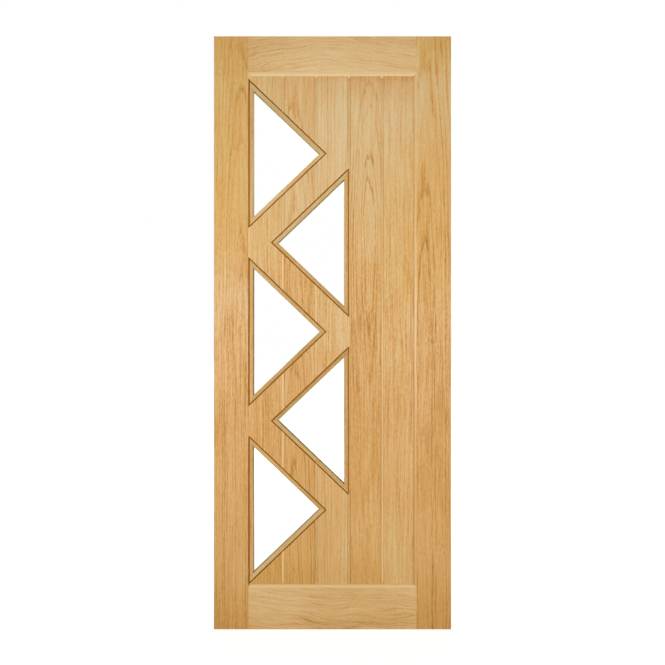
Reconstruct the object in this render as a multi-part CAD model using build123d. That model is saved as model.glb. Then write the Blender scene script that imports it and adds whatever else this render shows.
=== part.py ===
"""Glazed interior door leaf: an oak frame, a V-jointed boarded panel and five triangular lights.

Millimetres. X runs across the leaf from the hinge edge, Y through its thickness with the front
face towards -Y, and Z up from the bottom edge. The origin lies on the hinge edge, at the foot of
the leaf and in the middle of its thickness.
"""

import os

from build123d import *

# Leaf
LEAF_WIDTH = 813.0
LEAF_HEIGHT = 2032.0
LEAF_THICKNESS = 35.0
ARRIS_RADIUS = 1.0  # eased long edges of the stiles

# Frame: the face widths of its members, and the bevel that runs down to the panel
STILE_FACE = 118.0
TOP_RAIL_FACE = 123.0
BOTTOM_RAIL_FACE = 142.0
BEVEL_WIDTH = 11.0  # as seen from the front, from the flat face to the panel
PANEL_RECESS = 4.5  # the panel's face lies this far behind the frame's
FRAME_GROOVE_WIDTH = 8.0  # takes the tongue round the panel's rim
FRAME_GROOVE_DEPTH = 16.0
GROOVE_END_GAP = 0.5  # from a tongue's tip to the bottom of its groove

# Panel: boards of equal cover that fill the frame from groove to groove
BOARD_COUNT = 5
V_BEVEL_WIDTH = 6.0  # each board's share of the V between two boards
V_DEPTH = 3.5
TONGUE_LENGTH = 6.0
TONGUE_THICKNESS = 6.0
TONGUE_CLEARANCE = 0.15  # on each cheek of a board's tongue

# Lights: triangles that stand on the left stile and on a board joint in turn
LIGHT_COUNT = 5
LIT_BOARD_COUNT = 3  # the right-hand lights stand on the joint after these boards
LIGHT_GAP = 99.0  # between the corners of two lights that stand on the same line
APEX_MARGIN = 77.0  # from a light's apex to the line that the lights across from it stand on
TOP_LIGHT_MARGIN = 20.7  # from the top rail's face edge to the highest corner
BOTTOM_LIGHT_MARGIN = 9.3  # from the bottom rail's face edge to the lowest corner

# Glazing
GLASS_THICKNESS = 6.0
GLASS_EDGE_GAP = 2.5  # round the pane, inside its opening
GLASS_FACE_GAP = 0.2  # between the glass and each bead
BEAD_WIDTH = 16.5
QUIRK_WIDTH = 2.5  # the sunk line along a bead's outer edge
QUIRK_DEPTH = 4.0
BEAD_ROUND = 1.0  # eased edges of a bead's face

# Worked out from the sizes above
HALF_LEAF = LEAF_THICKNESS / 2
HALF_PANEL = HALF_LEAF - PANEL_RECESS
HALF_JOINT = HALF_PANEL - V_DEPTH  # half the boards' thickness at the bottom of a V
NOSE = BEVEL_WIDTH * (PANEL_RECESS + V_DEPTH) / PANEL_RECESS  # the bevel runs on to the V's depth
PANEL_LEFT = STILE_FACE + NOSE - FRAME_GROOVE_DEPTH + GROOVE_END_GAP
PANEL_RIGHT = LEAF_WIDTH - PANEL_LEFT
PANEL_BOTTOM = BOTTOM_RAIL_FACE + NOSE - FRAME_GROOVE_DEPTH + GROOVE_END_GAP
PANEL_TOP = LEAF_HEIGHT - TOP_RAIL_FACE - NOSE + FRAME_GROOVE_DEPTH - GROOVE_END_GAP
BOARD_COVER = (PANEL_RIGHT - PANEL_LEFT) / BOARD_COUNT
JOINTS = [PANEL_LEFT + BOARD_COVER * i for i in range(1, BOARD_COUNT)]
LIT_JOINT = JOINTS[LIT_BOARD_COUNT - 1]
LIGHT_REACH = LIT_JOINT - STILE_FACE - APEX_MARGIN  # from a light's upright side to its apex
HIGHEST_CORNER = LEAF_HEIGHT - TOP_RAIL_FACE - TOP_LIGHT_MARGIN
LOWEST_CORNER = BOTTOM_RAIL_FACE + BOTTOM_LIGHT_MARGIN
LEFT_LIGHT_COUNT = (LIGHT_COUNT + 1) // 2
LIGHT_PITCH = (HIGHEST_CORNER - LOWEST_CORNER + LIGHT_GAP) / (2 * LEFT_LIGHT_COUNT)
LIGHT_UPRIGHT = 2 * LIGHT_PITCH - LIGHT_GAP  # a light's upright side


def frame_member(plane: Plane, face_width: float, length: float) -> Part:
    """A stile or rail blank: flat faces, a bevel down to the panel on each face, and a groove."""
    nose = face_width + NOSE
    half_groove = FRAME_GROOVE_WIDTH / 2
    groove_bottom = nose - FRAME_GROOVE_DEPTH
    half = [
        (0, HALF_LEAF),
        (face_width, HALF_LEAF),
        (nose, HALF_JOINT),
        (nose, half_groove),
        (groove_bottom, half_groove),
    ]
    other_half = [(u, -v) for u, v in reversed(half)]
    section = make_face(Polyline(*half, *other_half, close=True))
    return extrude(plane * section, length)


def stile(edge_x: float, inward: int) -> Part:
    """A full-height stile whose outer edge lies at edge_x, with that edge's arrises eased."""
    plane = Plane(origin=(edge_x, 0, 0), x_dir=(inward, 0, 0), z_dir=(0, 0, 1))
    blank = frame_member(plane, STILE_FACE, LEAF_HEIGHT)
    outer = blank.edges().filter_by(Axis.Z).group_by(Axis.X)[0 if inward > 0 else -1]
    return fillet(outer, ARRIS_RADIUS)


def rail(edge_z: float, inward: int, face_width: float) -> Part:
    """A rail blank between the stiles' faces, whose outer edge lies at height edge_z."""
    plane = Plane(origin=(STILE_FACE, 0, edge_z), x_dir=(0, 0, inward), z_dir=(1, 0, 0))
    return frame_member(plane, face_width, LEAF_WIDTH - 2 * STILE_FACE)


def board(number: int) -> Part:
    """A board blank: V edges, a tongue on its left and a groove on its right.

    The outer edges of the first and last boards stay square, for the frame to shape.
    """
    left = JOINTS[number - 2] if number > 1 else PANEL_LEFT
    right = JOINTS[number - 1] if number < BOARD_COUNT else PANEL_RIGHT
    section = Pos((left + right) / 2, 0) * Rectangle(right - left, 2 * HALF_PANEL)
    corner = Polyline((0, HALF_JOINT), (0, HALF_PANEL), (V_BEVEL_WIDTH, HALF_PANEL), close=True)
    bevel = make_face(corner)
    bevels = bevel + mirror(bevel, Plane.XZ)
    if number > 1:
        half_tongue = TONGUE_THICKNESS / 2 - TONGUE_CLEARANCE
        section -= Pos(left, 0) * bevels
        section += Pos(left - TONGUE_LENGTH / 2, 0) * Rectangle(TONGUE_LENGTH, 2 * half_tongue)
    if number < BOARD_COUNT:
        groove_depth = TONGUE_LENGTH + GROOVE_END_GAP
        section -= Pos(right, 0) * mirror(bevels, Plane.YZ)
        section -= Pos(right - groove_depth / 2, 0) * Rectangle(groove_depth, TONGUE_THICKNESS)
    return extrude(Pos(0, 0, PANEL_BOTTOM) * section, PANEL_TOP - PANEL_BOTTOM)


def light_corners(number: int) -> list[Vector]:
    """An opening's corners, seen from the front: top and bottom of the upright, then the apex."""
    on_stile = number % 2 == 1
    upright_x = STILE_FACE if on_stile else LIT_JOINT
    apex_x = upright_x + (LIGHT_REACH if on_stile else -LIGHT_REACH)
    top = HIGHEST_CORNER - LIGHT_PITCH * (number - 1)
    bottom = top - LIGHT_UPRIGHT
    return [Vector(upright_x, 0, top), Vector(upright_x, 0, bottom), Vector(apex_x, 0, (top + bottom) / 2)]


def in_circle(corners: list[Vector]) -> tuple[Vector, float]:
    """The centre and radius of the circle inside a triangle."""
    a, b, c = corners
    across = [(b - c).length, (c - a).length, (a - b).length]
    perimeter = sum(across)
    centre = (a * across[0] + b * across[1] + c * across[2]) / perimeter
    radius = (b - a).cross(c - a).length / perimeter
    return centre, radius


def triangle_prism(corners: list[Vector], thickness: float) -> Part:
    """A triangle in the plane of the leaf, made thick evenly to the front and back."""
    face = make_face(Polyline(*corners, close=True))
    return extrude(face, thickness / 2, dir=(0, 1, 0), both=True)


def pane(corners: list[Vector]) -> Part:
    """A sheet of glass, smaller than its opening all round."""
    centre, radius = in_circle(corners)
    share = (radius - GLASS_EDGE_GAP) / radius
    rim = [centre + (corner - centre) * share for corner in corners]
    return triangle_prism(rim, GLASS_THICKNESS)


def bead_section() -> Sketch:
    """A bead across its length: x from the opening's wall to the sight edge, y from glass to face."""
    foot = GLASS_THICKNESS / 2 + GLASS_FACE_GAP
    quirk_floor = HALF_PANEL - QUIRK_DEPTH
    outline = Polyline(
        (0, foot),
        (BEAD_WIDTH, foot),
        (BEAD_WIDTH, HALF_PANEL),
        (QUIRK_WIDTH, HALF_PANEL),
        (QUIRK_WIDTH, quirk_floor),
        (0, quirk_floor),
        close=True,
    )
    section = make_face(outline)
    return fillet(section.vertices().group_by(Axis.Y)[-1], BEAD_ROUND)


def front_bead(start: Vector, end: Vector, centre: Vector) -> Part:
    """The bead along one side of an opening, mitred where it meets its neighbours."""
    along = (end - start).normalized()
    inward = (centre - start) - along * (centre - start).dot(along)
    to_front = Vector(0, -1, 0)
    plane = Plane(origin=start, x_dir=inward, z_dir=inward.cross(to_front))
    reach = (end - start).length
    bar = extrude(plane * bead_section(), reach if plane.z_dir.dot(along) > 0 else -reach)
    return bar & triangle_prism([start, end, centre], LEAF_THICKNESS)


def leaf() -> dict[str, Part]:
    """Every piece of the leaf by name, each cut to fit its neighbours."""
    lights = [light_corners(i + 1) for i in range(LIGHT_COUNT)]
    openings = [triangle_prism(corners, 2 * LEAF_THICKNESS) for corners in lights]

    left_stile = stile(0, 1)
    right_stile = stile(LEAF_WIDTH, -1)
    top_rail = rail(LEAF_HEIGHT, -1, TOP_RAIL_FACE) - left_stile - right_stile
    bottom_rail = rail(0, 1, BOTTOM_RAIL_FACE) - left_stile - right_stile
    frame = [left_stile, right_stile, top_rail, bottom_rail]
    boards = [board(i + 1) - frame for i in range(BOARD_COUNT)]

    pieces = {
        "left_stile": left_stile - openings,
        "right_stile": right_stile,
        "top_rail": top_rail - openings,
        "bottom_rail": bottom_rail - openings,
    }
    for i, blank in enumerate(boards):
        pieces[f"board_{i + 1}"] = blank - openings
    for i, corners in enumerate(lights):
        top, bottom, apex = corners
        centre, _ = in_circle(corners)
        pieces[f"pane_{i + 1}"] = pane(corners)
        sides = {"upright": (top, bottom), "upper": (top, apex), "lower": (bottom, apex)}
        for side, (start, end) in sides.items():
            bead = front_bead(start, end, centre)
            pieces[f"bead_{i + 1}_front_{side}"] = bead
            pieces[f"bead_{i + 1}_back_{side}"] = mirror(bead, Plane.XZ)
    return pieces


os.makedirs("parts", exist_ok=True)
for name, piece in leaf().items():
    export_step(piece, f"parts/{name}.step")
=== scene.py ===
"""Finishes, studio and camera for a glazed oak door leaf.

Metres. The leaf stands upright with its hinge edge at x = 0, its front face towards -y and its foot
at z = 0. Grain patterns are worked out in millimetres, from where each piece lay in its log.
"""

import logging
import math
from dataclasses import dataclass, field
from enum import Enum

import bpy
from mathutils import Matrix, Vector


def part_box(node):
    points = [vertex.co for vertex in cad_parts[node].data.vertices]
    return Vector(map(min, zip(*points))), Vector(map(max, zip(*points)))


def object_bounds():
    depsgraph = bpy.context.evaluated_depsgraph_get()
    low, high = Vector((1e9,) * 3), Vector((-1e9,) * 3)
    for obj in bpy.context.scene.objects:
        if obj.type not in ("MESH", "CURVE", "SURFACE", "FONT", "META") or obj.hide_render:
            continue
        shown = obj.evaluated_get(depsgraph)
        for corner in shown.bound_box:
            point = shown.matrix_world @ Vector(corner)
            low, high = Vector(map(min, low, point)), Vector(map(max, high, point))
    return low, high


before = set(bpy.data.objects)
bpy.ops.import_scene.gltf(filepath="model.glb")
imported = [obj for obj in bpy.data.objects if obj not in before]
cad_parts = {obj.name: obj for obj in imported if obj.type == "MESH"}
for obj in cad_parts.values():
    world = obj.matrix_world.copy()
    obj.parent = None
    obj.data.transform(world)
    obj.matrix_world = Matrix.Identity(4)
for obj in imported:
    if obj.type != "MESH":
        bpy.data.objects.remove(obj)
CAD_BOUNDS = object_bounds()

LOG = logging.getLogger("door_leaf")
MM = 1000.0  # millimetres in a metre

Colour = tuple[float, float, float, float]
Course = tuple[tuple[float, float], ...]  # places along an axis in millimetres, each with a value there


def to_linear(hex_colour: str) -> Colour:
    """Turns an sRGB hex colour into the linear colour that shaders use.

    Args:
        hex_colour: A colour such as "#DCAF73".

    Returns:
        Linear red, green and blue, and an alpha of 1.
    """
    channels = [int(hex_colour[i : i + 2], 16) / 255 for i in (1, 3, 5)]
    red, green, blue = (c / 12.92 if c <= 0.04045 else ((c + 0.055) / 1.055) ** 2.4 for c in channels)
    return red, green, blue, 1.0


def add_node(
    tree: bpy.types.NodeTree,
    kind: str,
    inputs: dict[str | int, object] | None = None,
    stops: tuple[tuple[float, Colour], ...] = (),
    **settings: object,
) -> bpy.types.Node:
    """Adds one node, with its settings, its input values and its links.

    Args:
        tree: The tree that takes the node.
        kind: The node's type, without the ShaderNode in front.
        inputs: Sockets to link and values to set, by the input's name or number.
        stops: Positions and colours, for a colour ramp.
        **settings: The node's own properties.

    Returns:
        The new node.
    """
    node = tree.nodes.new("ShaderNode" + kind)
    for name, value in settings.items():
        setattr(node, name, value)
    for key, value in (inputs or {}).items():
        if isinstance(value, bpy.types.NodeSocket):
            tree.links.new(value, node.inputs[key])
        else:
            node.inputs[key].default_value = value
    for i, (position, colour) in enumerate(stops):
        ramp = node.color_ramp
        element = ramp.elements[i] if i < 2 else ramp.elements.new(position)
        element.position = position
        element.color = colour
    return node


def new_material(name: str) -> tuple[bpy.types.Material, bpy.types.NodeTree]:
    """Makes an empty node material.

    Args:
        name: The material's name.

    Returns:
        The material and its cleared node tree.
    """
    material = bpy.data.materials.new(name)
    material.use_nodes = True
    material.node_tree.nodes.clear()
    return material, material.node_tree


def dress(node: str, material: bpy.types.Material) -> None:
    """Gives a CAD node one material in all its slots.

    Args:
        node: The CAD node's name.
        material: What the node is finished with.
    """
    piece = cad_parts[node]
    if not piece.material_slots:
        piece.data.materials.append(material)
    for slot in piece.material_slots:
        slot.material = material
    LOG.info("%s: %s", node, material.name)


class Face(Enum):
    """The two faces of the leaf."""

    FRONT = "front"
    BACK = "back"


class BeadSide(Enum):
    """The three sides of a triangular light."""

    UPRIGHT = "upright"
    UPPER = "upper"
    LOWER = "lower"


@dataclass(frozen=True)
class Streak:
    """The size of one streak of grain, in millimetres, and how strongly it shows in the tone."""

    width: float
    length: float
    strength: float


@dataclass(frozen=True)
class LogCut:
    """How a piece was cut from its log, which sets the figure on its face. Millimetres.

    The growth rings are cones about the heart of the tree. Where the face climbs away from the heart
    along the grain, the rings show as nested arches that point that way.
    """

    grain_angle: float = 0.0  # of the grain from upright towards +x, in degrees
    heart: float = 0.0  # across the grain, where the heart of the tree lies behind the face
    peak: float = 0.0  # along the grain, where the face comes nearest to the heart
    depth: float = 8.0  # of the heart behind the face there
    climb_up: float = 0.0  # depth gained for each millimetre up the grain from the peak
    climb_down: float = 0.0  # and down the grain from it
    # Real rings are 2 to 4 mm wide. They are drawn wider, so that each one shows from across a room.
    ring: float = 9.0
    # Along the grain
    bend: Course = ((0.0, 0.0),)  # how far the grain has bent aside, in millimetres
    figure: Course = ((0.0, 0.45),)  # how strongly the rings show in the tone
    tones: Course = ((0.0, 0.0),)  # how much yellower the wood is made
    golden: Course = ((0.0, 0.0),)  # how far daylight has yellowed it
    bold: Course = ((0.0, 1.0),)  # how strongly its streaks show
    # Across the grain
    cross_tones: Course = ((0.0, 0.0),)  # how pale the wood is
    seed: int = 0


def streaks(tree: bpy.types.NodeTree, place: bpy.types.NodeSocket, streak: Streak) -> bpy.types.NodeSocket:
    """Draws noise out along the grain.

    Args:
        tree: The material's tree.
        place: Across, depth and along the grain, in millimetres.
        streak: The size of the streaks, and their strength from lowest to highest.

    Returns:
        The noise, about 0.
    """
    size = (1 / streak.width, 1 / streak.width, 1 / streak.length)
    scaled = add_node(tree, "VectorMath", {0: place, 1: size}, operation="MULTIPLY").outputs[0]
    # One finer layer breaks up the edges of the streaks
    noise = add_node(tree, "TexNoise", {"Vector": scaled, "Scale": 1.0, "Detail": 1.0}).outputs[0]
    return add_node(
        tree, "Math", {0: noise, 1: streak.strength, 2: -streak.strength / 2}, operation="MULTIPLY_ADD"
    ).outputs[0]


def follow(
    tree: bpy.types.NodeTree, along: bpy.types.NodeSocket, course: Course
) -> bpy.types.NodeSocket | float:
    """Follows a course along one axis, with smooth steps from each place to the next.

    Args:
        tree: The material's tree.
        along: The place along the axis, in millimetres.
        course: The places, with the values there.

    Returns:
        The value at the place.
    """
    start, value = course[0]
    total = value
    for end, next_value in course[1:]:
        change = add_node(
            tree,
            "MapRange",
            {"Value": along, "From Min": start, "From Max": end, "To Max": next_value - value},
            interpolation_type="SMOOTHSTEP",
        ).outputs[0]
        total = add_node(tree, "Math", {0: total, 1: change}).outputs[0]
        start, value = end, next_value
    return total


@dataclass(frozen=True)
class Surface:
    """Where a point of a piece lies and which way it faces, as sockets of the piece's material."""

    tree: bpy.types.NodeTree
    place: bpy.types.NodeSocket  # across, depth and along the grain, in millimetres
    facing: bpy.types.NodeSocket  # the surface's direction, in the same axes
    front: float  # the level of the piece's face, in millimetres from the middle of the leaf

    def axes(self) -> bpy.types.NodeOutputs:
        """Splits the place into sockets X across, Y in depth and Z along the grain."""
        return add_node(self.tree, "SeparateXYZ", {0: self.place}).outputs

    def sunk(self) -> bpy.types.NodeSocket:
        """Measures how deep the point lies.

        Returns:
            How far it is below the piece's nearer face, in millimetres.
        """
        level = add_node(self.tree, "Math", {0: self.axes()["Y"]}, operation="ABSOLUTE").outputs[0]
        return add_node(self.tree, "Math", {0: self.front, 1: level}, operation="SUBTRACT").outputs[0]

    def squareness(self) -> bpy.types.NodeSocket:
        """Measures how squarely the point faces the front or the back: 1 for flat, 0 for an edge."""
        depth = add_node(self.tree, "SeparateXYZ", {0: self.facing}).outputs["Y"]
        return add_node(self.tree, "Math", {0: depth}, operation="ABSOLUTE").outputs[0]

    def mix(
        self, share: bpy.types.NodeSocket, colour: bpy.types.NodeSocket, other: Colour
    ) -> bpy.types.NodeSocket:
        """Mixes a share of another colour into a colour."""
        mixed = add_node(self.tree, "Mix", {"Factor": share, "A": colour, "B": other}, data_type="RGBA")
        return mixed.outputs["Result"]


@dataclass(frozen=True)
class SlopeShares:
    """How much of a slope's two colours shows in the wood's own, along the grain."""

    arris: Course
    valley: Course


@dataclass(frozen=True)
class Bevel:
    """The sloping edges of a piece, cut through its veneer into the solid wood below. Millimetres."""

    arris: str  # colour along the edge of the face
    valley: str  # colour along the bottom of the slope
    width: float  # of the slope, seen from the front
    depth: float  # from the face to the bottom of the slope
    slope_paints: tuple[SlopeShares, ...]  # of the piece's near edge and of its far edge, or one for both
    middle: float = 0.0  # across the grain, between the two edges
    turn: tuple[float, float] = (0.3, 0.7)  # where one colour starts to give way and where it ends
    reach: float = 0.3  # how far past the slope's depth the colours go on
    wall_share: float = 0.0  # of brown on edges that are square to the face: painted shade in the recesses they wall
    wall: str = "#5E3000"
    wall_turn: tuple[float, float] = (0.3, 0.1)  # squareness where that brown starts and where it is full
    slack: float = 0.06  # how far the squareness of a slope may be from what its width and depth give
    # Where a slope's colours change wanders along it. The strength is in shares of its depth.
    drift: Streak = Streak(width=30.0, length=400.0, strength=0.3)

    def paint(self, surface: Surface, colour: bpy.types.NodeSocket) -> bpy.types.NodeSocket:
        """Colours the slopes and the square edges. On the frame, the slopes' colours are painted sheen and
        painted shadow lines. The brown on square edges is painted shade.

        Args:
            surface: The piece's surface.
            colour: The wood's own colour.

        Returns:
            The colour with the edges in it.
        """
        tree = surface.tree
        sunk = surface.sunk()
        fall = add_node(tree, "Math", {0: sunk, 1: self.depth}, operation="DIVIDE").outputs[0]
        fall = add_node(tree, "Math", {0: fall, 1: streaks(tree, surface.place, self.drift)}).outputs[0]
        square = surface.squareness()
        steepness = self.width / math.hypot(self.width, self.depth)
        tilted = add_node(
            tree, "Math", {0: square, 1: steepness, 2: self.slack}, operation="COMPARE"
        ).outputs[0]
        bottom = self.depth + self.reach
        slope = add_node(tree, "Math", {0: sunk, 1: bottom}, operation="LESS_THAN").outputs[0]
        slope = add_node(tree, "Math", {0: slope, 1: tilted}, operation="MULTIPLY").outputs[0]
        axes = surface.axes()
        is_far = add_node(tree, "Math", {0: axes["X"], 1: self.middle}, operation="GREATER_THAN").outputs[0]
        near, far = self.slope_paints[0], self.slope_paints[-1]
        high, low = self.turn
        for slope_paint, courses, start, end in (
            (self.arris, (near.arris, far.arris), low, high),
            (self.valley, (near.valley, far.valley), high, low),
        ):
            near_share, far_share = (follow(tree, axes["Z"], course) for course in courses)
            share = add_node(tree, "Mix", {"Factor": is_far, "A": near_share, "B": far_share}).outputs[0]
            reached = add_node(
                tree, "MapRange", {"Value": fall, "From Min": start, "From Max": end}
            ).outputs[0]
            for limit in (reached, slope):
                share = add_node(tree, "Math", {0: share, 1: limit}, operation="MULTIPLY").outputs[0]
            colour = surface.mix(share, colour, to_linear(slope_paint))
        starts, full = self.wall_turn
        edge = add_node(
            tree,
            "MapRange",
            {"Value": square, "From Min": starts, "From Max": full, "To Max": self.wall_share},
        ).outputs[0]
        return surface.mix(edge, colour, to_linear(self.wall))


@dataclass(frozen=True)
class Quirk:
    """The sunk line along a bead's outer edge, with painted shade in it that spreads over the arris beside
    it.
    """

    outward: int  # 1 where the bead's outer edge faces along its across-grain axis, else -1
    edge: float  # how far out that edge lies, in millimetres
    sight_shade: str  # colour of the square edge round the glass: painted shade
    sight_share: float = 0.85
    sight_turn: tuple[float, float] = (-0.1, -0.5)  # outward facing where it starts and where it is full
    shade_reach: tuple[float, float] = (3.8, 4.8)  # millimetres in from the edge where the painted shade fades and where it ends
    # the painted shade in the quirk
    brown: str = "#B06C00"
    share: float = 0.95

    def paint(self, surface: Surface, colour: bpy.types.NodeSocket) -> bpy.types.NodeSocket:
        """Paints shade into the quirk and onto the edge round the glass.

        Args:
            surface: The piece's surface.
            colour: The wood's own colour.

        Returns:
            The colour with the dark lines in it.
        """
        tree = surface.tree
        facing = add_node(tree, "SeparateXYZ", {0: surface.facing}).outputs["X"]
        out = add_node(tree, "Math", {0: facing, 1: float(self.outward)}, operation="MULTIPLY").outputs[0]
        starts, full = self.sight_turn
        sight_shade = add_node(
            tree,
            "MapRange",
            {"Value": out, "From Min": starts, "From Max": full, "To Max": self.sight_share},
        ).outputs[0]
        colour = surface.mix(sight_shade, colour, to_linear(self.sight_shade))
        inward = add_node(
            tree,
            "Math",
            {0: surface.axes()["X"], 1: -float(self.outward), 2: self.edge},
            operation="MULTIPLY_ADD",
        ).outputs[0]
        fades, ends = self.shade_reach
        quirk = add_node(
            tree, "MapRange", {"Value": inward, "From Min": ends, "From Max": fades, "To Max": self.share}
        ).outputs[0]
        return surface.mix(quirk, colour, to_linear(self.brown))


@dataclass(frozen=True)
class LacqueredOak:
    """White oak veneer, planed along the grain, sanded and sealed with a clear satin lacquer.

    Planing opens the long pores, so the face is drawn with fine streaks along the grain. The lacquer
    evens the gloss to a soft sheen and deepens the porous part of each ring to honey brown.
    """

    deep: str = "#9A6018"
    dark: str = "#C08C46"
    middle: str = "#D9A463"
    pale: str = "#E1C693"
    end_grain: str = "#8F6230"
    golden: str = "#FFFFE2"  # the colour multiplied in where the wood is made yellower
    dark_tone: float = 0.33  # where the dark and the middle colour stand between deep (0) and pale (1)
    middle_tone: float = 0.6
    level: float = 0.65  # the tone that streaks, rings and pores are added to
    roughness: float = 0.33
    pore_dullness: float = 0.18  # added to the roughness in a pore
    sawn_roughness: float = 0.9  # of edges square to the face, which are left as the saw cut them
    sawn_turn: tuple[float, float] = (0.8, 0.2)  # squareness where such an edge starts and where it is full
    ior: float = 1.5
    specular: float = 0.25  # half of a gloss lacquer's, as the matting powder in it scatters the rest
    relief: float = 0.0003  # height of the grain's relief, in metres
    relief_strength: float = 0.25
    pore_sink: float = 0.7  # depth of a pore, in shares of that relief
    # Real pores are 0.3 mm wide. They are drawn wider, so that they show from across a room.
    pore: Streak = Streak(width=0.8, length=16.0, strength=0.16)
    pore_edge: tuple[float, float] = (0.1, 0.2)  # noise where a pore starts to open and where it is open
    crowding: float = 0.1  # added to that noise in early wood
    dash: Streak = Streak(width=2.8, length=12.0, strength=0.42)
    fine: Streak = Streak(width=3.0, length=120.0, strength=0.6)
    broad: Streak = Streak(width=10.0, length=420.0, strength=0.2)
    cloud: Streak = Streak(width=60.0, length=330.0, strength=0.3)
    sway: Streak = Streak(width=70.0, length=360.0, strength=8.0)  # strength in millimetres here
    # The rings' own unevenness, with strengths in years
    waver: Streak = Streak(width=18.0, length=150.0, strength=0.9)
    fray: Streak = Streak(width=3.0, length=34.0, strength=0.4)
    porous: tuple[float, float] = (0.1, 0.42)  # shares of a year at its most porous and when dense again
    whole: float = 0.9  # how much of a ring is unbroken, against gaps as strong as this
    gaps: float = 3.0
    peak_round: float = 60.0  # millimetres over which the face turns away from the heart
    end_turn: tuple[float, float] = (0.6, 0.9)  # facing along the grain where end grain starts and is full
    end_share: float = 0.6
    seed_step: tuple[float, float, float] = (137.0, 61.0, 911.0)  # from one piece's patterns to the next

    def material(self, name: str, cut: LogCut, edges: Bevel | Quirk, front: float) -> bpy.types.Material:
        """Makes the finish of one piece.

        Args:
            name: The material's name.
            cut: Where the piece lay in its log.
            edges: How its worked edges look.
            front: The level of its face, in millimetres from the middle of the leaf.

        Returns:
            The material.
        """
        material, tree = new_material(name)
        coordinates = add_node(tree, "TexCoord")
        turn = (0.0, -math.radians(cut.grain_angle), 0.0)
        place = add_node(
            tree,
            "Mapping",
            {"Vector": coordinates.outputs["Object"], "Rotation": turn, "Scale": (MM, MM, MM)},
        ).outputs[0]
        facing = add_node(
            tree,
            "Mapping",
            {"Vector": coordinates.outputs["Normal"], "Rotation": turn},
            vector_type="VECTOR",
        ).outputs[0]
        surface = Surface(tree, place, facing, front)
        swayed, shifted = self._swayed(surface, cut)
        early = self._early_wood(surface, swayed, shifted, cut)
        pores = self._pores(tree, shifted, early)
        tone = self._tone(surface, shifted, early, pores, cut)
        colour = add_node(
            tree,
            "ValToRGB",
            {"Fac": tone},
            stops=(
                (0.0, to_linear(self.deep)),
                (1.0, to_linear(self.pale)),
                (self.dark_tone, to_linear(self.dark)),
                (self.middle_tone, to_linear(self.middle)),
            ),
        ).outputs["Color"]
        yellower = follow(tree, surface.axes()["Z"], cut.golden)
        colour = add_node(
            tree,
            "Mix",
            {"Factor": yellower, "A": colour, "B": to_linear(self.golden)},
            data_type="RGBA",
            blend_type="MULTIPLY",
        ).outputs["Result"]
        colour = edges.paint(surface, colour)
        colour = self._ended(surface, colour)
        self._shade(surface, colour, tone, pores)
        return material

    def _swayed(
        self, surface: Surface, cut: LogCut
    ) -> tuple[bpy.types.NodeSocket, bpy.types.NodeSocket]:
        """Lets a piece's grain bend and sway, and moves it to its own stretch of the patterns.

        Args:
            surface: The piece's surface.
            cut: Where the piece lay in its log.

        Returns:
            The swayed place in the log, and the same in the patterns.
        """
        step = Vector(self.seed_step) * cut.seed
        tree, place = surface.tree, surface.place
        away = add_node(tree, "VectorMath", {0: place, 1: step}).outputs[0]
        bend = follow(tree, surface.axes()["Z"], cut.bend)
        reach = streaks(tree, away, self.sway)
        reach = add_node(tree, "Math", {0: reach, 1: bend}, operation="SUBTRACT").outputs[0]
        aside = add_node(tree, "CombineXYZ", {"X": reach}).outputs[0]
        swayed, shifted = (add_node(tree, "VectorMath", {0: p, 1: aside}).outputs[0] for p in (place, away))
        return swayed, shifted

    def _early_wood(
        self, surface: Surface, swayed: bpy.types.NodeSocket, shifted: bpy.types.NodeSocket, cut: LogCut
    ) -> bpy.types.NodeSocket:
        """Cuts the log's growth rings with the piece's surface.

        Args:
            surface: The piece's surface.
            swayed: The place in the log: across, depth and along the grain, in millimetres.
            shifted: The piece's place in the patterns.
            cut: Where the piece lay in its log.

        Returns:
            1 in the porous wood that starts a bold ring, and 0 in the dense wood that ends it.
        """
        tree = surface.tree
        axes = add_node(tree, "SeparateXYZ", {0: swayed}).outputs
        across = add_node(tree, "Math", {0: axes["X"], 1: cut.heart}, operation="SUBTRACT").outputs[0]
        behind = add_node(tree, "Math", {0: axes["Y"], 1: cut.depth + surface.front}).outputs[0]
        for way, climb in ((1.0, cut.climb_up), (-1.0, cut.climb_down)):
            past = add_node(
                tree, "Math", {0: axes["Z"], 1: way, 2: -way * cut.peak}, operation="MULTIPLY_ADD"
            ).outputs[0]
            past = add_node(
                tree, "Math", {0: past, 1: 0.0, 2: self.peak_round}, operation="SMOOTH_MAX"
            ).outputs[0]
            behind = add_node(
                tree, "Math", {0: past, 1: climb, 2: behind}, operation="MULTIPLY_ADD"
            ).outputs[0]
        flat = add_node(tree, "CombineXYZ", {"X": across, "Y": behind}).outputs[0]
        radius = add_node(tree, "VectorMath", {0: flat}, operation="LENGTH").outputs["Value"]
        years = add_node(tree, "Math", {0: radius, 1: cut.ring}, operation="DIVIDE").outputs[0]
        for streak in (self.waver, self.fray):
            uneven = streaks(tree, shifted, streak)
            years = add_node(tree, "Math", {0: years, 1: uneven}).outputs[0]
        year = add_node(tree, "Math", {0: years}, operation="FLOOR").outputs[0]
        boldness = add_node(tree, "TexWhiteNoise", {"W": year}, noise_dimensions="1D").outputs["Value"]
        grown = add_node(tree, "Math", {0: years}, operation="FRACT").outputs[0]
        black, white = to_linear("#000000"), to_linear("#FFFFFF")
        most, dense = self.porous
        porous = add_node(
            tree, "ValToRGB", {"Fac": grown}, stops=((0.0, black), (dense, black), (most, white))
        ).outputs["Color"]
        bold = add_node(tree, "Math", {0: porous, 1: boldness}, operation="MULTIPLY").outputs[0]
        gaps = streaks(tree, shifted, Streak(self.fray.width, self.fray.length, self.gaps))
        broken = add_node(tree, "Math", {0: gaps, 1: self.whole}, use_clamp=True).outputs[0]
        return add_node(tree, "Math", {0: bold, 1: broken}, operation="MULTIPLY").outputs[0]

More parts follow.
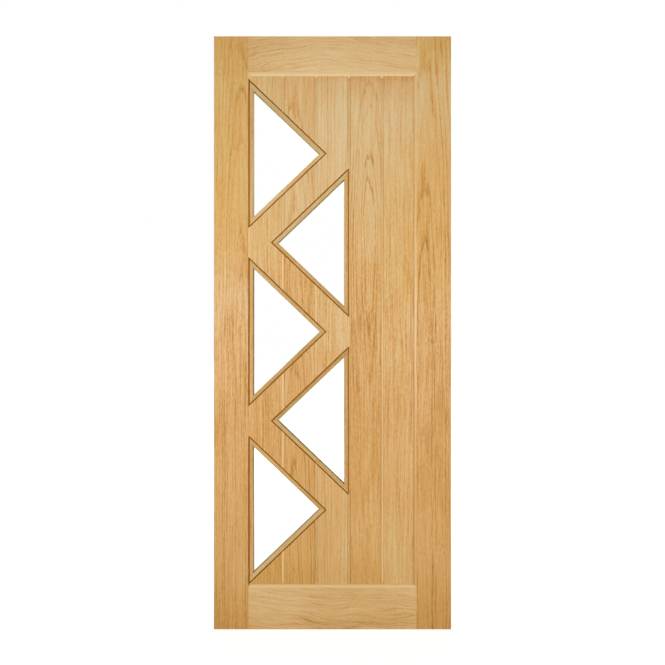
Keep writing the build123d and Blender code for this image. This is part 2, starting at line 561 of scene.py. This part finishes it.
    def _pores(
        self, tree: bpy.types.NodeTree, shifted: bpy.types.NodeSocket, early: bpy.types.NodeSocket
    ) -> bpy.types.NodeSocket:
        """Opens long pores, which crowd together in the early wood of each ring.

        Args:
            tree: The material's tree.
            shifted: The piece's place in the patterns.
            early: Where the early wood is.

        Returns:
            1 in a pore and 0 on the wood between.
        """
        unit = Streak(self.pore.width, self.pore.length, 1.0)
        noise = streaks(tree, shifted, unit)
        level = add_node(
            tree, "Math", {0: early, 1: self.crowding, 2: noise}, operation="MULTIPLY_ADD"
        ).outputs[0]
        starts, full = self.pore_edge
        return add_node(tree, "MapRange", {"Value": level, "From Min": starts, "From Max": full}).outputs[0]

    def _tone(
        self,
        surface: Surface,
        shifted: bpy.types.NodeSocket,
        early: bpy.types.NodeSocket,
        pores: bpy.types.NodeSocket,
        cut: LogCut,
    ) -> bpy.types.NodeSocket:
        """Adds up the streaks, rings and pores into one tone.

        Args:
            surface: The piece's surface.
            shifted: The piece's place in the patterns.
            early: Where the early wood is.
            pores: Where the pores are.
            cut: Where the piece lay in its log.

        Returns:
            The tone, from 0 for the deepest wood to 1 for the palest.
        """
        tree, axes = surface.tree, surface.axes()
        tone = follow(tree, axes["Z"], cut.tones)
        tone = add_node(tree, "Math", {0: follow(tree, axes["X"], cut.cross_tones), 1: tone}).outputs[0]
        figure = follow(tree, axes["Z"], cut.figure)
        rings = add_node(tree, "Math", {0: early, 1: figure}, operation="MULTIPLY").outputs[0]
        level = add_node(tree, "Math", {0: self.level, 1: rings}, operation="SUBTRACT").outputs[0]
        tone = add_node(tree, "Math", {0: tone, 1: level}).outputs[0]
        tone = add_node(tree, "Math", {0: tone, 1: streaks(tree, shifted, self.cloud)}).outputs[0]
        bold = follow(tree, axes["Z"], cut.bold)
        for streak in (self.dash, self.fine, self.broad):
            shade = streaks(tree, shifted, streak)
            tone = add_node(tree, "Math", {0: shade, 1: bold, 2: tone}, operation="MULTIPLY_ADD").outputs[0]
        return add_node(
            tree,
            "Math",
            {0: pores, 1: -self.pore.strength, 2: tone},
            operation="MULTIPLY_ADD",
            use_clamp=True,
        ).outputs[0]

    def _ended(self, surface: Surface, colour: bpy.types.NodeSocket) -> bpy.types.NodeSocket:
        """Darkens the end grain, which drinks up more of the lacquer.

        Args:
            surface: The piece's surface.
            colour: The colour so far.

        Returns:
            The colour with dark ends.
        """
        tree = surface.tree
        along = add_node(tree, "SeparateXYZ", {0: surface.facing}).outputs["Z"]
        along = add_node(tree, "Math", {0: along}, operation="ABSOLUTE").outputs[0]
        starts, full = self.end_turn
        share = add_node(
            tree,
            "MapRange",
            {"Value": along, "From Min": starts, "From Max": full, "To Max": self.end_share},
        ).outputs[0]
        return surface.mix(share, colour, to_linear(self.end_grain))

    def _shade(
        self,
        surface: Surface,
        colour: bpy.types.NodeSocket,
        tone: bpy.types.NodeSocket,
        pores: bpy.types.NodeSocket,
    ) -> None:
        """Joins the patterns to the shader: sunk pores, and a sheen that they and the sawn edges break.

        Args:
            surface: The piece's surface.
            colour: The finished colour.
            tone: The tone that the streaks and rings make.
            pores: Where the pores are.
        """
        tree = surface.tree
        rough = add_node(
            tree,
            "MapRange",
            {"Value": pores, "To Min": self.roughness, "To Max": self.roughness + self.pore_dullness},
        ).outputs[0]
        square = surface.squareness()
        starts, full = self.sawn_turn
        sawn = add_node(
            tree,
            "MapRange",
            {"Value": square, "From Min": starts, "From Max": full, "To Max": self.sawn_roughness},
        ).outputs[0]
        rough = add_node(tree, "Math", {0: rough, 1: sawn}, operation="MAXIMUM").outputs[0]
        height = add_node(
            tree, "Math", {0: pores, 1: -self.pore_sink, 2: tone}, operation="MULTIPLY_ADD"
        ).outputs[0]
        bump = add_node(
            tree, "Bump", {"Strength": self.relief_strength, "Distance": self.relief, "Height": height}
        ).outputs[0]
        shader = add_node(
            tree,
            "BsdfPrincipled",
            {
                "Base Color": colour,
                "Roughness": rough,
                "IOR": self.ior,
                "Specular IOR Level": self.specular,
                "Normal": bump,
            },
        )
        add_node(tree, "OutputMaterial", {"Surface": shader.outputs[0]})


@dataclass(frozen=True)
class FloatGlass:
    """Clear float glass, cut square and left plain: flat, bright and faintly green at its edges."""

    tint: str = "#FEFFFE"
    ior: float = 1.52
    roughness: float = 0.0

    def material(self, name: str) -> bpy.types.Material:
        """Makes the glass.

        Args:
            name: The material's name.

        Returns:
            The material.
        """
        material, tree = new_material(name)
        shader = add_node(
            tree,
            "BsdfPrincipled",
            {
                "Base Color": to_linear(self.tint),
                "Roughness": self.roughness,
                "IOR": self.ior,
                "Transmission Weight": 1.0,
            },
        )
        add_node(tree, "OutputMaterial", {"Surface": shader.outputs[0]})
        return material


OAK = LacqueredOak()
# The rails' veneer was cut nearer the foot of the tree, where the grain is wilder
RAIL_OAK = LacqueredOak(
    dark="#C69955",
    middle="#DDB173",
    pale="#E9C892",
    fine=Streak(width=3.0, length=65.0, strength=0.75),
    sway=Streak(width=45.0, length=130.0, strength=34.0),
)
# Beads are planed from solid wood and left matt. The slanting ones are a little cooler in colour
BEAD_SPECULAR = 0.05
UPRIGHT_BEAD_OAK = LacqueredOak(
    deep="#93652A", dark="#C09152", middle="#D9AB6C", pale="#E8C898", specular=BEAD_SPECULAR
)
SLANTING_BEAD_OAK = LacqueredOak(
    deep="#93692A", dark="#BE975A", middle="#D6B176", pale="#E9D1A2", specular=BEAD_SPECULAR
)
# The veneer's streaks are boldest half way up the leaf
BOLD_MIDDLE: Course = ((0.0, 0.7), (450.0, 0.9), (1050.0, 1.5), (1600.0, 0.9))


@dataclass
class Frame:
    """The two stiles and two rails round the panel."""

    bevel_width: float = 11.0
    bevel_depth: float = 4.5
    # Each bevel's colours from arris to valley, and how much of them shows along it. The pale colours are
    # painted sheen along the bevels. The dark valleys of the right stile and the bottom rail are painted
    # shadow lines.
    slope_paints: dict[str, tuple[str, str, SlopeShares]] = field(
        default_factory=lambda: {
            "left_stile": (
                "#F0CE92",
                "#E2BC80",
                SlopeShares(
                    arris=((650.0, 0.25), (1200.0, 0.65), (1450.0, 0.75)),
                    valley=((650.0, 0.35), (1200.0, 0.65), (1450.0, 0.95)),
                ),
            ),
            "right_stile": (
                "#F0CE98",
                "#B88846",
                SlopeShares(
                    arris=((250.0, 0.25), (550.0, 0.3), (1000.0, 0.7), (1250.0, 0.7), (1500.0, 0.5)),
                    valley=((250.0, 0.7), (550.0, 0.65), (1000.0, 0.4), (1850.0, 0.25)),
                ),
            ),
            "top_rail": ("#E8C690", "#EED6A8", SlopeShares(arris=((0.0, 0.75),), valley=((0.0, 0.75),))),
            "bottom_rail": ("#E0BE86", "#C89C5E", SlopeShares(arris=((0.0, 0.85),), valley=((0.0, 0.75),))),
        }
    )
    # How far down the slope the colours change, and how far past it they go on, where not as usual
    turns: dict[str, tuple[float, float]] = field(
        default_factory=lambda: {"right_stile": (0.5, 0.8), "bottom_rail": (0.75, 0.9)}
    )
    reaches: dict[str, float] = field(default_factory=lambda: {"bottom_rail": 4.0})
    # The stiles' tones fall towards the foot and the head of the leaf, and so do the rails' cross tones:
    # painted shade where the light falls off at the ends of the leaf.
    # Across the grain of a rail is measured downwards, so its places up the leaf are negative
    cuts: dict[str, LogCut] = field(
        default_factory=lambda: {
            "left_stile": LogCut(
                heart=92.0,
                peak=960.0,
                depth=7.0,
                climb_up=0.055,
                figure=((0.0, 0.3),),
                tones=(
                    (0.0, -0.16), (250.0, -0.03), (520.0, 0.0), (700.0, -0.1), (1000.0, 0.0),
                    (1110.0, 0.13), (1250.0, 0.06), (1600.0, 0.12), (1790.0, 0.06), (1870.0, 0.09),
                    (1920.0, -0.01), (2020.0, -0.05),
                ),
                golden=(
                    (0.0, 0.5), (400.0, 0.2), (700.0, 0.0), (1150.0, 0.0), (1330.0, 0.6),
                    (1450.0, 0.85),
                ),
                bold=BOLD_MIDDLE,
                seed=1,
            ),
            "right_stile": LogCut(
                heart=722.0,
                peak=1010.0,
                depth=6.0,
                climb_up=0.06,
                ring=12.0,
                figure=(
                    (600.0, 0.35), (1000.0, 0.52), (1250.0, 0.52), (1400.0, 0.36), (1650.0, 0.38),
                    (1850.0, 0.5),
                ),
                tones=(
                    (0.0, -0.12), (250.0, -0.02), (480.0, -0.07), (720.0, -0.09), (900.0, -0.01),
                    (1050.0, 0.02), (1500.0, 0.02), (1850.0, 0.18), (1910.0, 0.14), (2010.0, 0.04),
                ),
                golden=(
                    (0.0, 0.5), (400.0, 0.2), (700.0, 0.0), (1050.0, 0.0), (1200.0, 0.5),
                    (1600.0, 0.6), (1780.0, 0.25), (1890.0, 0.25), (1980.0, 0.9),
                ),
                bold=BOLD_MIDDLE,
                seed=2,
            ),
            "top_rail": LogCut(
                grain_angle=90.0,
                heart=-1890.0,
                peak=420.0,
                depth=12.0,
                climb_up=0.03,
                climb_down=0.03,
                ring=12.0,
                bend=((40.0, 0.0), (400.0, -38.0), (760.0, 0.0)),
                figure=((0.0, 0.3),),
                tones=((120.0, 0.0), (240.0, 0.08), (330.0, 0.18), (450.0, 0.17), (700.0, 0.14)),
                cross_tones=((-2010.0, -0.03), (-1940.0, 0.02)),
                seed=3,
            ),
            "bottom_rail": LogCut(
                grain_angle=90.0,
                heart=-50.0,
                peak=80.0,
                depth=5.0,
                climb_up=0.07,
                ring=11.0,
                bend=((60.0, 0.0), (420.0, 30.0), (700.0, 34.0)),
                figure=((0.0, 0.22),),
                tones=((120.0, 0.06), (270.0, 0.12), (350.0, 0.02), (600.0, 0.02), (690.0, 0.06)),
                cross_tones=((-110.0, 0.02), (-20.0, -0.13)),
                bold=((0.0, 0.9),),
                seed=4,
            ),
        }
    )

    def dress(self) -> None:
        """Finishes the stiles and rails."""
        for node, cut in self.cuts.items():
            front = -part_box(node)[0].y * MM
            oak = RAIL_OAK if node.endswith("rail") else OAK
            arris, valley, slope_paint = self.slope_paints[node]
            edges = Bevel(
                arris,
                valley,
                self.bevel_width,
                self.bevel_depth,
                slope_paints=(slope_paint,),
                turn=self.turns.get(node, Bevel.turn),
                reach=self.reaches.get(node, Bevel.reach),
            )
            dress(node, oak.material(f"lacquered_oak_{node}", cut, edges, front))


@dataclass
class BoardedPanel:
    """The five upright V-jointed boards."""

    v_width: float = 6.0  # each board's share of the V between two boards
    v_depth: float = 3.5
    v_arris: str = "#A87838"  # brown along the edge of the V
    v_valley: str = "#F6DAA0"  # pale colour along its bottom
    v_turn: tuple[float, float] = (0.3, 0.55)  # shares of the depth where one gives way to the other
    wall_share: float = 0.95  # of brown on the square edges round the lights: painted shade in the quirks beside the beads
    # How much of the brown and of the pale colour shows along each V-joint, from left to right
    joints: tuple[SlopeShares, ...] = (
        SlopeShares(
            arris=((0.0, 0.1),),
            valley=((200.0, 0.6), (450.0, 0.5), (1250.0, 0.55), (1400.0, 0.22), (1850.0, 0.2)),
        ),
        SlopeShares(
            arris=((200.0, 0.5), (600.0, 0.42), (800.0, 0.25), (950.0, 0.22), (1050.0, 0.1)),
            valley=(
                (200.0, 0.0), (560.0, 0.15), (900.0, 0.15), (1020.0, 0.45), (1150.0, 0.45),
                (1400.0, 0.25),
            ),
        ),
        SlopeShares(
            arris=(
                (200.0, 0.62), (440.0, 0.55), (500.0, 0.15), (1100.0, 0.15), (1550.0, 0.0),
                (1620.0, 0.35),
            ),
            valley=((440.0, 0.0), (500.0, 0.3), (1150.0, 0.3), (1550.0, 0.3), (1620.0, 0.0)),
        ),
        SlopeShares(
            arris=(
                (300.0, 0.2), (650.0, 0.2), (900.0, 0.05), (1250.0, 0.05), (1350.0, 0.3),
                (1600.0, 0.3), (1750.0, 0.0),
            ),
            valley=(
                (200.0, 0.75), (500.0, 0.65), (850.0, 0.5), (1250.0, 0.2), (1400.0, 0.1),
                (1750.0, 0.0),
            ),
        ),
    )
    # The left slope of the last joint takes more brown and less pale than its right one: painted shade, as
    # on a slope turned away from the light
    shaded_last_left_slope: SlopeShares = SlopeShares(
        arris=(
            (200.0, 0.35), (450.0, 0.6), (650.0, 0.4), (900.0, 0.1), (1250.0, 0.05), (1400.0, 0.3),
            (1750.0, 0.0),
        ),
        valley=((200.0, 0.2), (500.0, 0.1), (850.0, 0.15), (1250.0, 0.1), (1400.0, 0.0)),
    )
    # Each board's tones fall over the last hundred millimetres or so below the top rail: painted shade
    # under the rail's bevel.
    cuts: dict[str, LogCut] = field(
        default_factory=lambda: {
            "board_1": LogCut(
                heart=60.0,
                depth=40.0,
                climb_up=0.012,
                figure=((0.0, 0.3),),
                tones=(
                    (200.0, -0.1), (500.0, -0.08), (670.0, -0.05), (870.0, -0.02), (1100.0, 0.04),
                    (1320.0, 0.14), (1600.0, 0.15), (1800.0, 0.16), (1890.0, 0.12),
                ),
                golden=((200.0, 0.7), (450.0, 0.2), (900.0, 0.0), (1150.0, 0.0), (1300.0, 0.35)),
                bold=BOLD_MIDDLE,
                seed=5,
            ),
            "board_2": LogCut(
                heart=276.0,
                peak=90.0,
                depth=5.0,
                climb_up=0.05,
                tones=(
                    (160.0, -0.04), (260.0, 0.03), (420.0, -0.03), (570.0, -0.05), (850.0, 0.03),
                    (1000.0, 0.01), (1190.0, 0.0), (1410.0, 0.22), (1600.0, 0.13), (1790.0, 0.12),
                    (1890.0, 0.07),
                ),
                golden=(
                    (200.0, 0.7), (450.0, 0.2), (850.0, 0.0), (1050.0, 0.0), (1170.0, 0.3),
                    (1400.0, 0.0), (1750.0, 0.1), (1850.0, 0.3),
                ),
                bold=BOLD_MIDDLE,
                seed=6,
            ),
            "board_3": LogCut(
                heart=500.0,
                depth=60.0,
                climb_up=0.012,
                figure=((0.0, 0.3),),
                tones=(
                    (160.0, 0.08), (306.0, 0.13), (450.0, 0.11), (700.0, 0.0), (930.0, 0.06),
                    (985.0, 0.15), (1090.0, 0.18), (1250.0, 0.13), (1790.0, 0.29), (1865.0, 0.2),
                    (1893.0, 0.08),
                ),
                golden=(
                    (160.0, 0.4), (306.0, 0.25), (500.0, 0.1), (700.0, 0.0), (1780.0, 0.0),
                    (1850.0, 0.15),
                ),
                bold=BOLD_MIDDLE,
                seed=7,
            ),
            "board_4": LogCut(
                heart=534.0,
                peak=1385.0,
                depth=2.0,
                climb_up=0.11,
                climb_down=0.05,
                figure=(
                    (500.0, 0.15), (900.0, 0.35), (1200.0, 0.45), (1400.0, 0.6), (1600.0, 0.6),
                    (1760.0, 0.25),
                ),
                tones=(
                    (160.0, -0.03), (350.0, 0.04), (480.0, -0.05), (700.0, -0.07), (940.0, -0.04),
                    (1110.0, 0.05), (1200.0, 0.03), (1370.0, 0.14), (1550.0, 0.21), (1780.0, 0.22),
                    (1870.0, 0.1), (1893.0, -0.02),
                ),
                golden=(
                    (160.0, 0.5), (550.0, 0.3), (750.0, 0.0), (1050.0, 0.0), (1200.0, 0.3),
                    (1400.0, 0.1),
                ),
                bold=BOLD_MIDDLE,
                seed=8,
            ),
            "board_5": LogCut(
                heart=700.0,
                depth=50.0,
                climb_up=0.012,
                figure=((0.0, 0.3),),
                tones=(
                    (160.0, 0.14), (500.0, 0.04), (640.0, 0.02), (1000.0, 0.08), (1150.0, 0.03),
                    (1550.0, 0.14), (1780.0, 0.23), (1865.0, 0.12), (1893.0, -0.04),
                ),
                golden=(
                    (160.0, 0.4), (450.0, 0.3), (700.0, 0.0), (1000.0, 0.0), (1200.0, 0.5),
                    (1620.0, 0.3), (1750.0, 0.0),
                ),
                bold=BOLD_MIDDLE,
                seed=9,
            ),
        }
    )

    def dress(self) -> None:
        """Finishes the boards."""
        left_slopes = (*self.joints[:-1], self.shaded_last_left_slope, self.shaded_last_left_slope)
        for i, (node, cut) in enumerate(self.cuts.items()):
            low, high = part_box(node)
            edges = Bevel(
                self.v_arris,
                self.v_valley,
                self.v_width,
                self.v_depth,
                slope_paints=(self.joints[max(i - 1, 0)], left_slopes[i]),
                middle=(low.x + high.x) / 2 * MM,
                turn=self.v_turn,
                wall_share=self.wall_share,
            )
            dress(node, OAK.material(f"lacquered_oak_{node}", cut, edges, -low.y * MM))


@dataclass
class Lights:
    """The triangular panes and the mitred beads that hold them."""

    count: int = 5
    first_seed: int = 20
    # A bead is cut well away from the heart, so that its rings run straight
    bead_heart: float = -300.0
    bead_depth: float = 30.0
    bead_figure: float = 0.25
    # By light, from the top: how pale its beads are, and the painted shade on their edges round the glass
    tones: dict[BeadSide, tuple[float, ...]] = field(
        default_factory=lambda: {
            BeadSide.UPRIGHT: (-0.02, -0.02, -0.05, -0.1, -0.12),
            BeadSide.UPPER: (0.0, -0.02, -0.15, -0.22, -0.17),
            BeadSide.LOWER: (0.02, -0.18, -0.2, -0.12, 0.02),
        }
    )
    sight_shades: tuple[str, ...] = ("#E4CE9E", "#BCA16A", "#876B33", "#977E4F", "#C4A77A")

    def dress(self) -> None:
        """Finishes the panes and beads of every light."""
        glass = FloatGlass().material("clear_float_glass")
        seed = self.first_seed
        for number in range(1, self.count + 1):
            dress(f"pane_{number}", glass)
            for face in Face:
                for side in BeadSide:
                    self._dress_bead(number, face, side, seed)
                    seed += 1

    def _dress_bead(self, number: int, face: Face, side: BeadSide, seed: int) -> None:
        """Finishes one bead, with its grain along its length.

        Args:
            number: The light's number, from the top.
            face: The face of the leaf that the bead is on.
            side: The side of the light that it holds.
            seed: The bead's own number in the patterns.
        """
        node = f"bead_{number}_{face.value}_{side.value}"
        low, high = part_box(node)
        stands_left = number % 2 == 1
        angle = 0.0
        if side is not BeadSide.UPRIGHT:
            leans_right = (side is BeadSide.LOWER) == stands_left
            angle = math.degrees(math.atan2(high.x - low.x, high.z - low.z)) * (1 if leans_right else -1)
        outward = -1 if stands_left == (side is BeadSide.UPRIGHT) else 1
        lean = math.radians(angle)
        across = Vector((math.cos(lean), 0.0, -math.sin(lean))) * outward * MM
        edge = max(across.dot(vertex.co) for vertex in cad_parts[node].data.vertices)
        quirk = Quirk(outward, edge, sight_shade=self.sight_shades[number - 1])
        tone = self.tones[side][number - 1]
        cut = LogCut(
            grain_angle=angle,
            heart=self.bead_heart,
            depth=self.bead_depth,
            figure=((0.0, self.bead_figure),),
            tones=((0.0, tone),),
            seed=seed,
        )
        front = max(-low.y, high.y) * MM
        oak = UPRIGHT_BEAD_OAK if side is BeadSide.UPRIGHT else SLANTING_BEAD_OAK
        dress(node, oak.material(f"lacquered_oak_{node}", cut, quirk, front))


@dataclass(frozen=True)
class Softbox:
    """A large soft lamp: where it stands, what it points at, its size in metres and its power."""

    name: str
    place: tuple[float, float, float]
    target: tuple[float, float, float]
    width: float
    height: float
    watts: float

    def build(self) -> None:
        """Sets the lamp up, out of sight of the camera."""
        lamp = bpy.data.lights.new(self.name, "AREA")
        lamp.shape = "RECTANGLE"
        lamp.size = self.width
        lamp.size_y = self.height
        lamp.energy = self.watts
        stand = bpy.data.objects.new(self.name, lamp)
        stand.location = self.place
        aim = Vector(self.target) - Vector(self.place)
        stand.rotation_euler = aim.to_track_quat("-Z", "Y").to_euler()
        stand.visible_camera = False
        stand.visible_transmission = False
        bpy.context.scene.collection.objects.link(stand)


@dataclass
class Studio:
    """A white room with a pale floor and four softboxes: high in front, at each side and behind."""

    floor_size: float = 30.0
    floor_drop: float = 0.001  # below the leaf's foot, so that the two don't touch
    floor_colour: str = "#B4B4B4"
    # What the eye sees of the floor's own white: less near the leaf, where the lamps' light and shadow show
    near_glow: float = 0.74
    far_glow: float = 1.0
    near_reach: float = 0.4  # metres from the middle of the leaf
    far_reach: float = 2.6
    room_light: float = 0.25  # what the white room sheds on the leaf
    softboxes: tuple[Softbox, ...] = (
        Softbox("high_softbox", (0.4, -3.2, 3.0), (0.4, 0.0, 1.6), 1.0, 1.3, 13.0),
        Softbox("left_softbox", (-0.9, -1.8, 1.05), (0.3, 0.0, 0.95), 0.9, 0.9, 21.5),
        Softbox("right_softbox", (2.1, -2.0, 1.05), (0.5, 0.0, 0.95), 0.9, 0.9, 28.0),
        Softbox("back_softbox", (0.4, 3.0, 1.8), (0.4, 0.0, 1.1), 2.2, 1.8, 60.0),
    )

    def build(self) -> None:
        """Builds the room, the floor and the lamps."""
        self._light_room()
        self._lay_floor()
        for softbox in self.softboxes:
            softbox.build()

    def _seen(self, tree: bpy.types.NodeTree) -> bpy.types.NodeSocket:
        """Finds the rays that show a surface to the eye, straight, mirrored or through glass.

        Args:
            tree: The tree that asks.

        Returns:
            1 for such a ray and 0 for one that only carries light.
        """
        path = add_node(tree, "LightPath").outputs
        seen = path["Is Camera Ray"]
        for kind in ("Is Glossy Ray", "Is Transmission Ray"):
            seen = add_node(tree, "Math", {0: seen, 1: path[kind]}, operation="MAXIMUM").outputs[0]
        return seen

    def _light_room(self) -> None:
        """Makes the world white to the eye, and a dimmer even light on the leaf."""
        world = bpy.data.worlds.new("white_room")
        world.use_nodes = True
        tree = world.node_tree
        tree.nodes.clear()
        white = to_linear("#FFFFFF")
        strength = add_node(
            tree, "MapRange", {"Value": self._seen(tree), "To Min": self.room_light, "To Max": 1.0}
        ).outputs[0]
        room = add_node(tree, "Background", {"Color": white, "Strength": strength})
        add_node(tree, "OutputWorld", {"Surface": room.outputs[0]})
        bpy.context.scene.world = world

    def _lay_floor(self) -> None:
        """Lays the floor, which looks white but keeps the leaf's shadow."""
        low, high = CAD_BOUNDS
        half = self.floor_size / 2
        middle = (low + high) / 2
        level = low.z - self.floor_drop
        sides = ((-half, -half), (half, -half), (half, half), (-half, half))
        corners = [(middle.x + right, middle.y + back, level) for right, back in sides]
        mesh = bpy.data.meshes.new("studio_floor")
        mesh.from_pydata(corners, [], [(0, 1, 2, 3)])
        floor = bpy.data.objects.new("studio_floor", mesh)
        bpy.context.scene.collection.objects.link(floor)

        material, tree = new_material("matt_white_floor")
        paint = add_node(tree, "BsdfDiffuse", {"Color": to_linear(self.floor_colour)})
        spot = add_node(tree, "NewGeometry").outputs["Position"]
        away = add_node(tree, "VectorMath", {0: spot, 1: (middle.x, middle.y, level)}, operation="DISTANCE")
        glow = add_node(
            tree,
            "MapRange",
            {
                "Value": away.outputs["Value"],
                "From Min": self.near_reach,
                "From Max": self.far_reach,
                "To Min": self.near_glow,
                "To Max": self.far_glow,
            },
            interpolation_type="SMOOTHSTEP",
        ).outputs[0]
        glow = add_node(tree, "Math", {0: glow, 1: self._seen(tree)}, operation="MULTIPLY").outputs[0]
        shine = add_node(tree, "Emission", {"Color": to_linear("#FFFFFF"), "Strength": glow})
        both = add_node(tree, "AddShader", {0: paint.outputs[0], 1: shine.outputs[0]})
        add_node(tree, "OutputMaterial", {"Surface": both.outputs[0]})
        mesh.materials.append(material)


@dataclass
class FrontView:
    """A camera square to the front face, set to frame the leaf as the photograph does."""

    image_size: int = 665
    leaf_height_px: float = 593.0  # from the head to the foot of the leaf
    leaf_middle_px: tuple[float, float] = (332.5, 332.8)
    distance: float = 1.8  # from the front face, in metres
    sensor_mm: float = 36.0

    def build(self) -> None:
        """Makes the camera."""
        low, high = CAD_BOUNDS
        metres_per_px = (high.z - low.z) / self.leaf_height_px
        middle = (low + high) / 2
        right_px = self.leaf_middle_px[0] - self.image_size / 2
        down_px = self.leaf_middle_px[1] - self.image_size / 2
        camera = bpy.data.cameras.new("front_view")
        camera.sensor_width = self.sensor_mm
        camera.lens = self.sensor_mm * self.distance / (metres_per_px * self.image_size)
        stand = bpy.data.objects.new("front_view", camera)
        stand.location = (
            middle.x - right_px * metres_per_px,
            low.y - self.distance,
            middle.z + down_px * metres_per_px,
        )
        stand.rotation_euler = (math.pi / 2, 0.0, 0.0)
        bpy.context.scene.collection.objects.link(stand)
        bpy.context.scene.camera = stand


def main() -> None:
    """Dresses the leaf piece by piece, then sets up the studio and the camera."""
    logging.basicConfig(level=logging.INFO, format="%(message)s")
    bpy.context.scene.view_settings.view_transform = "Standard"
    Frame().dress()
    BoardedPanel().dress()
    Lights().dress()
    Studio().build()
    FrontView().build()


if __name__ == "__main__":
    main()
